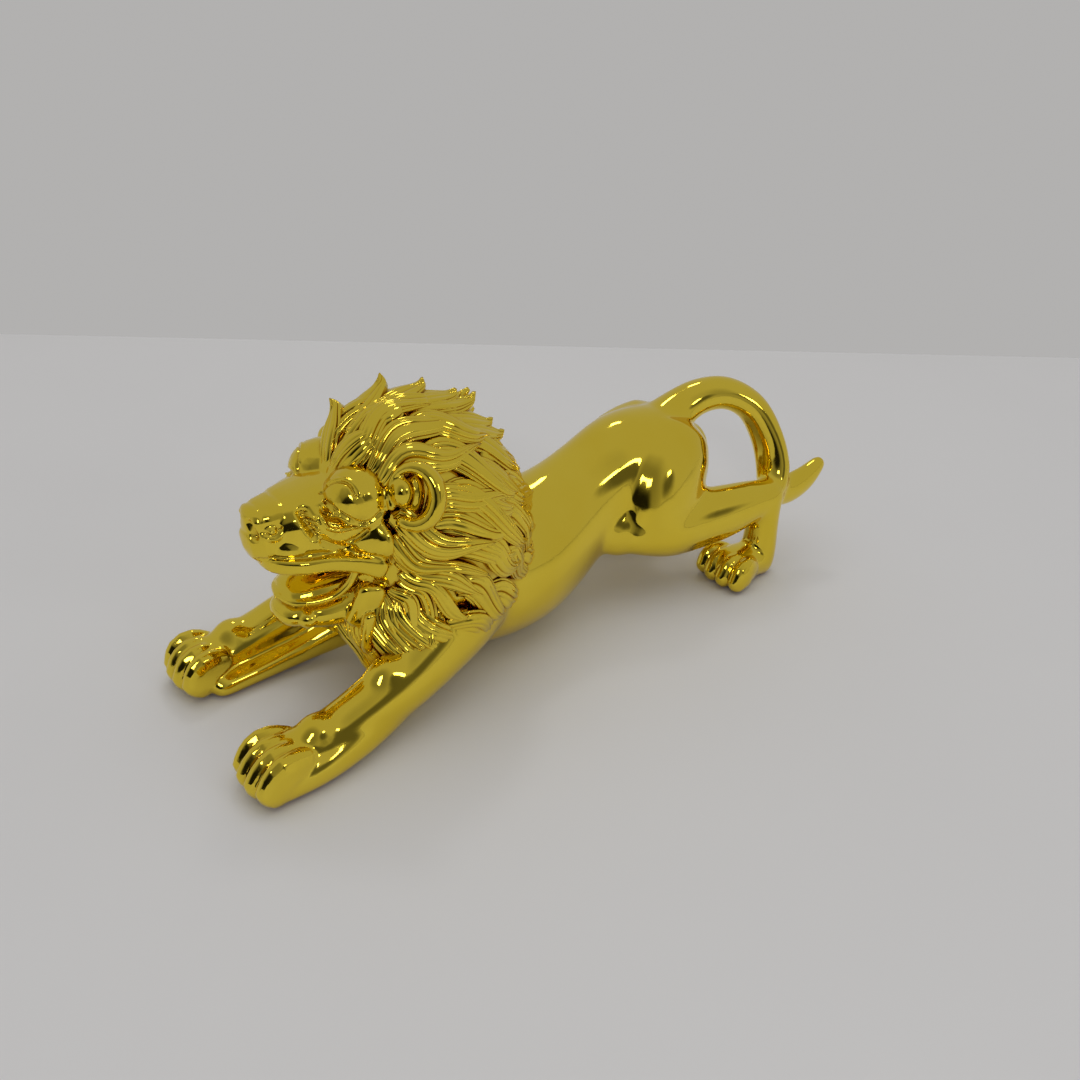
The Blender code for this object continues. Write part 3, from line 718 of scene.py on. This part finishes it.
def swept_lock(bm, form, start, end, width, curl, rise, taper=2.8, ease=1.0, wave=0.0):
    """A lock laid on the form from start to end, each (away, around), curling sideways as it goes.

    An ease above 1 slows it towards its end, so that its rise stands the tip up. wave bends it
    into an S.
    """
    spots, lifts = [], []
    for step in range(LOCK_STEPS + 1):
        t = step / LOCK_STEPS
        away = start[0] + (end[0] - start[0]) * (1 - (1 - t) ** ease)
        around = start[1] + (end[1] - start[1]) * t**1.3 + curl * math.sin(math.pi * 1.7 * t) * t
        around += wave * math.sin(math.pi * 2 * t)
        spots.append((away, around))
        lifts.append(-0.8 + 1.8 * math.sin(math.pi * min(1, t * 1.2) * 0.5) + rise * t**3)
    lock(bm, *laid(form, spots, lifts, REAR_RIDE), [width] * (LOCK_STEPS + 1), taper)


# Tips that stand up from the crown: degrees away from the face, degrees round, how far each rises
FLAMES = [
    (60, -24, 4.9),
    (82, -15, 5.2),
    (99, -9, 4.4),
    (113, -3, 4.5),
    (120, 0, 6.2),
    (130, 8, 3.9),
    (136, 13, 3.9),
    (146, 29, 1.5),
    (152, 55, 2.4),
]
LOW_RISE = 0.6  # what the front tips to the lion's left of the parting rise by instead
ALL_RISE = 110  # degrees away from the face past which the tips of both sides rise in full
FLAME_RUN = 32  # degrees from a flame's root to its tip
FLAME_WIDTH = 4.6


def flame(bm, side, away, around, rise):
    """A crown lock that lifts off into a pointed tip."""
    start, tip = (away - FLAME_RUN, side * (around + 9)), (away, side * around)
    swept_lock(bm, MANE, start, tip, FLAME_WIDTH, side * -3, rise, taper=2.2, ease=2.0)


# Locks that close the mane behind the ear: (away, around) at root and tip
BEHIND_EAR = [((66, 74), (112, 79)), ((70, 85), (118, 90)), ((84, 70), (126, 66))]

# The rows of locks behind the face: degrees away from it at the roots, length in degrees, how many
# on each side, and the share of a lock's spacing that the row is shifted by
TIERS = [(80, 46, 9, 0.2), (104, 40, 9, 0.6), (126, 34, 7, 0.0)]
TIER_WIDTH = 4.2
LOW_WIDTH = 3.9  # of the locks behind the ear and of the beard's
BEARD_LOCKS = 6  # on each side


def mane(bm):
    """Tiers of locks swept back from the face, and the beard below."""
    for side in BOTH:
        for away, around, rise in FLAMES:
            flame(bm, side, away, around, rise if side == 1 or away > ALL_RISE else LOW_RISE)
        for first, length, count, offset in TIERS:
            for k in range(count):
                around = (k + offset) * 180 / count
                sag = 20 * math.sin(math.radians(around))
                start = (first + 3 * math.sin(k * 2.1), side * around)
                end = (first + length + 4 * math.cos(k * 3.3 + first), side * (around + sag))
                rise = 1.2 + 0.6 * math.sin(k * 5.1 + first) - 0.6 * math.sin(math.radians(around))
                curl = side * 8 * math.cos(k * 1.9 + first)
                wave = side * -4.5
                swept_lock(bm, MANE, start, end, TIER_WIDTH, curl, rise, taper=2.3, wave=wave)
        for (away, around), (tip_away, tip_around) in BEHIND_EAR:
            start, end = (away, side * around), (tip_away, side * tip_around)
            swept_lock(bm, MANE, start, end, LOW_WIDTH, 0, 0.2, taper=2.3, wave=side * -3)
        for k in range(FLOWING):
            flowing_lock(bm, side, k)
        for k in range(BEARD_LOCKS):
            around = 5 + 15 * k
            start = (54 + 5 * (k % 2), side * around)
            end = (146 + 6 * math.sin(k * 2.3) - 0.2 * around, side * (around + 40))
            rise = 0.6 + 0.5 * math.sin(k * 2.7)
            swept_lock(bm, BEARD, start, end, LOW_WIDTH, 0, rise, taper=1.9, wave=side * -9)


def bake(obj):
    """Puts the object's modifiers into its mesh."""
    graph = bpy.context.evaluated_depsgraph_get()
    mesh = bpy.data.meshes.new_from_object(obj.evaluated_get(graph))
    old = obj.data
    obj.modifiers.clear()
    obj.data = mesh
    bpy.data.meshes.remove(old)


def object_from(bm, name):
    mesh = bpy.data.meshes.new(name)
    bm.to_mesh(mesh)
    bm.free()
    obj = bpy.data.objects.new(name, mesh)
    bpy.context.scene.collection.objects.link(obj)
    return obj


def soften(obj, times, group=""):
    smooth = obj.modifiers.new("Soften", "SMOOTH")
    smooth.factor = 0.5
    smooth.iterations = times
    smooth.vertex_group = group


def blended(obj, voxel, smoothing):
    remesh = obj.modifiers.new("Blend", "REMESH")
    remesh.mode = "VOXEL"
    remesh.voxel_size = voxel
    soften(obj, smoothing)
    bake(obj)


def points_of(mesh):
    flat = np.empty(len(mesh.vertices) * 3, dtype=np.float32)
    mesh.vertices.foreach_get("co", flat)
    return flat.reshape(-1, 3).astype(float)


def normals_of(mesh):
    flat = np.empty(len(mesh.vertices) * 3, dtype=np.float32)
    mesh.vertex_normals.foreach_get("vector", flat)
    return flat.reshape(-1, 3).astype(float)


def carve(obj, cuts):
    """Moves the points near each line inwards, deepest on the line itself.

    A negative depth raises a ridge.
    """
    places, inward = points_of(obj.data), normals_of(obj.data)
    order = np.argsort(places[:, 1])
    rank = places[order, 1]
    cut_in, raised = np.zeros(len(places)), np.zeros(len(places))
    surface = tree_of(obj)
    for points, reach, depth in cuts:
        line = np.array([surface.find_nearest(Vector(point))[0] for point in points])
        low, high = line.min(0) - reach, line.max(0) + reach
        near = order[np.searchsorted(rank, low[1]):np.searchsorted(rank, high[1])]
        near = near[((places[near] > low) & (places[near] < high)).all(1)]
        if not len(near):
            continue
        best = np.full(len(near), 1e9)
        for a, b in zip(line, line[1:]):
            t = np.clip((places[near] - a) @ (b - a) / max((b - a) @ (b - a), 1e-9), 0, 1)
            best = np.minimum(best, np.linalg.norm(places[near] - a - t[:, None] * (b - a), axis=1))
        share = np.clip(1 - (best / reach) ** 2, 0, 1) ** 2
        if depth > 0:
            cut_in[near] = np.maximum(cut_in[near], depth * share)
        else:
            raised[near] = np.maximum(raised[near], -depth * share)
    moved = places - inward * (cut_in - raised)[:, None]
    obj.data.vertices.foreach_set("co", moved.astype(np.float32).ravel())
    obj.data.update()


def tree_of(obj):
    faces = [tuple(face.vertices) for face in obj.data.polygons]
    return BVHTree.FromPolygons([vert.co for vert in obj.data.vertices], faces)


SKIN = 0.22  # how near the smooth body's own surface a point counts as bare skin


def polish_body(obj, smooth_body):
    """Smooths away the blend's small steps where the body's own bare surface shows."""
    tree = tree_of(smooth_body)
    bare = []
    for vert in obj.data.vertices:
        if tree.find_nearest(vert.co, SKIN)[0] is not None:
            bare.append(vert.index)
    group = obj.vertex_groups.new(name="bare")
    group.add(bare, 1.0, "REPLACE")
    soften(obj, BODY_POLISH, "bare")
    bake(obj)
    obj.vertex_groups.clear()


def stand_flat(bm):
    """Cuts off what is below the floor, flat."""
    whole = bm.verts[:] + bm.edges[:] + bm.faces[:]
    cut = bmesh.ops.bisect_plane(
        bm, geom=whole, dist=1e-4, plane_co=(0, 0, 0), plane_no=(0, 0, -1), clear_outer=True
    )
    rim = [item for item in cut["geom_cut"] if isinstance(item, bmesh.types.BMEdge)]
    filled = bmesh.ops.edgeloop_fill(bm, edges=rim)
    bmesh.ops.triangulate(bm, faces=filled["faces"])


def lion():
    """The figure, blended and carved, and its locks of hair, in the figure's own measure."""
    body = bmesh.new()
    torso(body)
    tail(body)
    for side in BOTH:
        hind_leg(body, side)
        foreleg(body, side)
    smooth_body = object_from(body, "smooth_body")
    blended(smooth_body, BODY_VOXEL, BODY_SMOOTHING)
    UNDER.append(tree_of(smooth_body))
    beard = bmesh.new()
    BEARD.solid(beard, BEARD_SHARE)
    UNDER.append(BVHTree.FromBMesh(beard))
    beard.free()

    whole = bmesh.new()
    whole.from_mesh(smooth_body.data)
    MANE.solid(whole, 1.0)
    BEARD.solid(whole, BEARD_SHARE)
    muzzle(whole)
    jaws(whole)
    below_the_jaw(whole)
    for side in BOTH:
        brow_and_eye(whole, side)
        ear(whole, side)
        # The left forepaw reaches a little further than the right one.
        paw(whole, side, heel=-71, front=(22.2, -84.0 - side), height=11.8, spread=3.75)
        paw(whole, side, heel=68, front=(21.6, 57.0), height=9.0, spread=4.1)
    figure = object_from(whole, "lion_figure")
    blended(figure, VOXEL, SMOOTHING)
    polish_body(figure, smooth_body)
    bpy.data.objects.remove(smooth_body, do_unlink=True)
    carve(figure, grooves())

    triangles = sum(len(p.vertices) - 2 for p in figure.data.polygons)
    fewer = figure.modifiers.new("Fewer faces", "DECIMATE")
    fewer.ratio = min(1.0, TRIANGLES / triangles)
    bake(figure)

    bm = bmesh.new()
    bm.from_mesh(figure.data)
    stand_flat(bm)
    bm.to_mesh(figure.data)
    bm.free()

    locks = bmesh.new()
    mane(locks)
    bmesh.ops.recalc_face_normals(locks, faces=locks.faces[:])
    return figure, object_from(locks, "mane_locks")


def settle(pieces):
    """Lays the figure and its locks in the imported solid's box, at the length that the solid has."""
    places = np.concatenate([points_of(piece.data) for piece in pieces])
    low, high = places.min(0), places.max(0)
    scale = (cad_high.y - cad_low.y) / (high[1] - low[1])
    middle = Vector(((low[0] + high[0]) / 2, (low[1] + high[1]) / 2, low[2]))
    for piece in pieces:
        piece.data.transform(Matrix.Scale(scale, 4) @ Matrix.Translation(-middle))


def noise(tree, where, scale, detail):
    """The strength of a noise pattern that stays put on the object."""
    made = tree.nodes.new("ShaderNodeTexNoise")
    made.inputs["Scale"].default_value = scale
    made.inputs["Detail"].default_value = detail
    tree.links.new(where.outputs["Object"], made.inputs["Vector"])
    return made.outputs["Fac"]


def tones(tree, strength, *stops):
    """A colour for the strength, from two stops of (position, colour)."""
    ramp = tree.nodes.new("ShaderNodeValToRGB")
    for element, (position, colour) in zip(ramp.color_ramp.elements, stops):
        element.position = position
        element.color = (*colour, 1)
    tree.links.new(strength, ramp.inputs["Fac"])
    return ramp.outputs["Color"]


def ranged(tree, value, low, high, low_to=0.0, high_to=1.0):
    """A node that maps the value from low..high to low_to..high_to and holds it there beyond."""
    made = tree.nodes.new("ShaderNodeMapRange")
    made.inputs["From Min"].default_value = low
    made.inputs["From Max"].default_value = high
    made.inputs["To Min"].default_value = low_to
    made.inputs["To Max"].default_value = high_to
    tree.links.new(value, made.inputs["Value"])
    return made


MIX_SHARE, MIX_FIRST, MIX_SECOND, MIX_RESULT = 0, 6, 7, 2  # a Mix node's colour sockets by number


def gold():
    """Mirror gold: the plating's tone, painted shade in its recesses, haze and waviness."""
    material = bpy.data.materials.new("mirror_gold")
    material.use_nodes = True
    tree = material.node_tree
    nodes, links = tree.nodes, tree.links
    shader = nodes["Principled BSDF"]
    shader.inputs["Metallic"].default_value = 1.0
    where = nodes.new("ShaderNodeTexCoord")
    # Slow changes in the plating's thickness, seen as warmer and paler patches.
    patches = noise(tree, where, scale=45, detail=3)
    tone = tones(tree, patches, (0.35, (0.87, 0.665, 0.068)), (0.7, (0.84, 0.625, 0.050)))
    # Painted shade: where ambient occlusion finds recesses, the gold is mixed toward a deeper brown
    # gold, standing in for the darker interreflected light there.
    recess = nodes.new("ShaderNodeAmbientOcclusion")
    recess.samples = 8
    recess.inputs["Distance"].default_value = 0.0016
    depth = ranged(tree, recess.outputs["AO"], 0.3, 0.8)
    recess_shade = nodes.new("ShaderNodeMix")
    recess_shade.data_type = "RGBA"
    recess_shade.inputs[MIX_FIRST].default_value = (0.36, 0.15, 0.012, 1)
    links.new(depth.outputs["Result"], recess_shade.inputs[MIX_SHARE])
    links.new(tone, recess_shade.inputs[MIX_SECOND])
    links.new(recess_shade.outputs[MIX_RESULT], shader.inputs["Base Color"])
    # Fine haze: the mirror is a little duller in small specks and rub marks.
    haze = noise(tree, where, scale=260, detail=4)
    rough = ranged(tree, haze, 0.4, 0.8, 0.045, 0.12)
    links.new(rough.outputs["Result"], shader.inputs["Roughness"])
    # The casting's slight waviness under the plating.
    wave = noise(tree, where, scale=120, detail=2)
    bump = nodes.new("ShaderNodeBump")
    bump.inputs["Strength"].default_value = 0.06
    bump.inputs["Distance"].default_value = 0.0004
    links.new(wave, bump.inputs["Height"])
    links.new(bump.outputs["Normal"], shader.inputs["Normal"])
    return material


def toward(azimuth, elevation):
    """The direction at an azimuth and elevation in degrees.

    Azimuth 0 is in front of the lion and 90 on its left.
    """
    a, e = math.radians(azimuth), math.radians(elevation)
    return Vector((math.sin(a) * math.cos(e), -math.cos(a) * math.cos(e), math.sin(e)))


# The photograph's camera: its target and distance in metres, its angles in degrees
TARGET = Vector((0.0032, 0.0027, 0.0234))
DISTANCE = 0.2951
AZIMUTH, ELEVATION, ROLL = 52.3, 31.2, 0.8
LENS, SENSOR = 37.43, 36  # in millimetres
NEAREST, FARTHEST = 0.005, 20  # what the camera sees, in metres


def camera():
    a, r = math.radians(AZIMUTH), math.radians(ROLL)
    back = toward(AZIMUTH, ELEVATION)
    level = Vector((math.cos(a), math.sin(a), 0))
    rise = back.cross(level)
    right = level * math.cos(r) + rise * math.sin(r)
    up = rise * math.cos(r) - level * math.sin(r)
    data = bpy.data.cameras.new("camera")
    data.lens = LENS
    data.sensor_width = SENSOR
    data.clip_start = NEAREST
    data.clip_end = FARTHEST
    obj = bpy.data.objects.new("camera", data)
    bpy.context.scene.collection.objects.link(obj)
    placed = Matrix((right, up, back)).transposed().to_4x4()
    placed.translation = TARGET + back * DISTANCE
    obj.matrix_world = placed
    bpy.context.scene.camera = obj


WALL_AWAY = 0.1967  # from the origin to the line where the floor meets the wall
WALL_WAY = Vector((-0.777, 0.629, 0))  # level, towards the wall
FLOOR_REACH = 3  # how far the floor goes the other three ways, in metres


def stage():
    """A pale floor that ends where the photograph's wall begins."""
    side = Vector((-WALL_WAY.y, WALL_WAY.x, 0))
    mesh = bpy.data.meshes.new("floor")
    corners = []
    for along, out in (
        (-FLOOR_REACH, WALL_AWAY),
        (FLOOR_REACH, WALL_AWAY),
        (FLOOR_REACH, -FLOOR_REACH),
        (-FLOOR_REACH, -FLOOR_REACH),
    ):
        corners.append(side * along + WALL_WAY * out)
    mesh.from_pydata(corners, [], [(0, 1, 2, 3)])
    floor = bpy.data.objects.new("floor", mesh)
    bpy.context.scene.collection.objects.link(floor)
    material = bpy.data.materials.new("floor")
    material.use_nodes = True
    tree = material.node_tree
    shader = tree.nodes["Principled BSDF"]
    shader.inputs["Roughness"].default_value = 0.55
    cloud = noise(tree, tree.nodes.new("ShaderNodeTexCoord"), scale=9, detail=5)
    tone = tones(tree, cloud, (0, (0.695, 0.690, 0.692)), (1, (0.735, 0.730, 0.731)))
    tree.links.new(tone, shader.inputs["Base Color"])
    floor.data.materials.append(material)


STUDIO_TONE = (0.445, 0.438, 0.432, 1)
# Dark things the room shows the mirror: azimuth, elevation, how far from its middle full dark ends
# and where it has faded out, all in degrees, and how dark it is
DARK_SPOTS = [(38, 0, 14, 32, 0.95), (42, 20, 18, 58, 0.52), (100, 15, 5, 17, 0.75)]


def world():
    """A pale studio with the dark of the photographer's side of the room in it."""
    made = bpy.data.worlds.new("studio")
    bpy.context.scene.world = made
    made.use_nodes = True
    tree = made.node_tree
    nodes, links = tree.nodes, tree.links
    where = nodes.new("ShaderNodeTexCoord")
    light = None
    for azimuth, elevation, inner, outer, dark in DARK_SPOTS:
        facing = nodes.new("ShaderNodeVectorMath")
        facing.operation = "DOT_PRODUCT"
        facing.inputs[1].default_value = toward(azimuth, elevation)
        links.new(where.outputs["Generated"], facing.inputs[0])
        edge, full = math.cos(math.radians(outer)), math.cos(math.radians(inner))
        fade = ranged(tree, facing.outputs["Value"], edge, full, 1.0, 1 - dark)
        fade.interpolation_type = "SMOOTHSTEP"
        if light is None:
            light = fade.outputs["Result"]
        else:
            both = nodes.new("ShaderNodeMath")
            both.operation = "MULTIPLY"
            links.new(light, both.inputs[0])
            links.new(fade.outputs["Result"], both.inputs[1])
            light = both.outputs["Value"]
    back = nodes["Background"]
    back.inputs["Color"].default_value = STUDIO_TONE
    links.new(light, back.inputs["Strength"])
    # What the camera sees past the floor is the plain wall.
    wall = nodes.new("ShaderNodeBackground")
    wall.inputs["Color"].default_value = STUDIO_TONE
    seen = nodes.new("ShaderNodeLightPath")
    mixed = nodes.new("ShaderNodeMixShader")
    links.new(seen.outputs["Is Camera Ray"], mixed.inputs["Fac"])
    links.new(back.outputs["Background"], mixed.inputs[1])
    links.new(wall.outputs["Background"], mixed.inputs[2])
    links.new(mixed.outputs["Shader"], nodes["World Output"].inputs["Surface"])


# The lamps that the gold mirrors: azimuth and elevation in degrees, size in metres, power in watts
LAMPS = [
    ("key", 50, 33, (0.19, 0.15), 0.8),
    ("side", 104, 28, (0.13, 0.09), 0.3),
    ("back", -125, 55, (0.16, 0.1), 0.42),
]


def lamp(name, place, size, power, in_mirror=True):
    """An area lamp aimed at the origin.

    The ceiling's light isn't seen in the gold, which has the studio around it to mirror.
    """
    data = bpy.data.lights.new(name, "AREA")
    data.shape = "RECTANGLE"
    data.size, data.size_y = size
    data.energy = power
    obj = bpy.data.objects.new(name, data)
    bpy.context.scene.collection.objects.link(obj)
    obj.location = place
    obj.rotation_mode = "QUATERNION"
    aim = Vector((0, 0, 0)) - Vector(place)
    obj.rotation_quaternion = aim.to_track_quat("-Z", "Y")
    obj.visible_glossy = in_mirror


camera()
stage()
world()
for name, azimuth, elevation, size, power in LAMPS:
    lamp(name, toward(azimuth, elevation), size, power)
lamp("ceiling", (0, 0, 1.2), (1.4, 1.4), 4.4, in_mirror=False)
bpy.context.scene.view_settings.view_transform = "Standard"

pieces = lion()
settle(pieces)
plating = gold()
for piece in pieces:
    piece.data.materials.clear()
    piece.data.materials.append(plating)
    piece.data.polygons.foreach_set("use_smooth", [True] * len(piece.data.polygons))
    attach(piece, "root")
    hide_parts("lion")
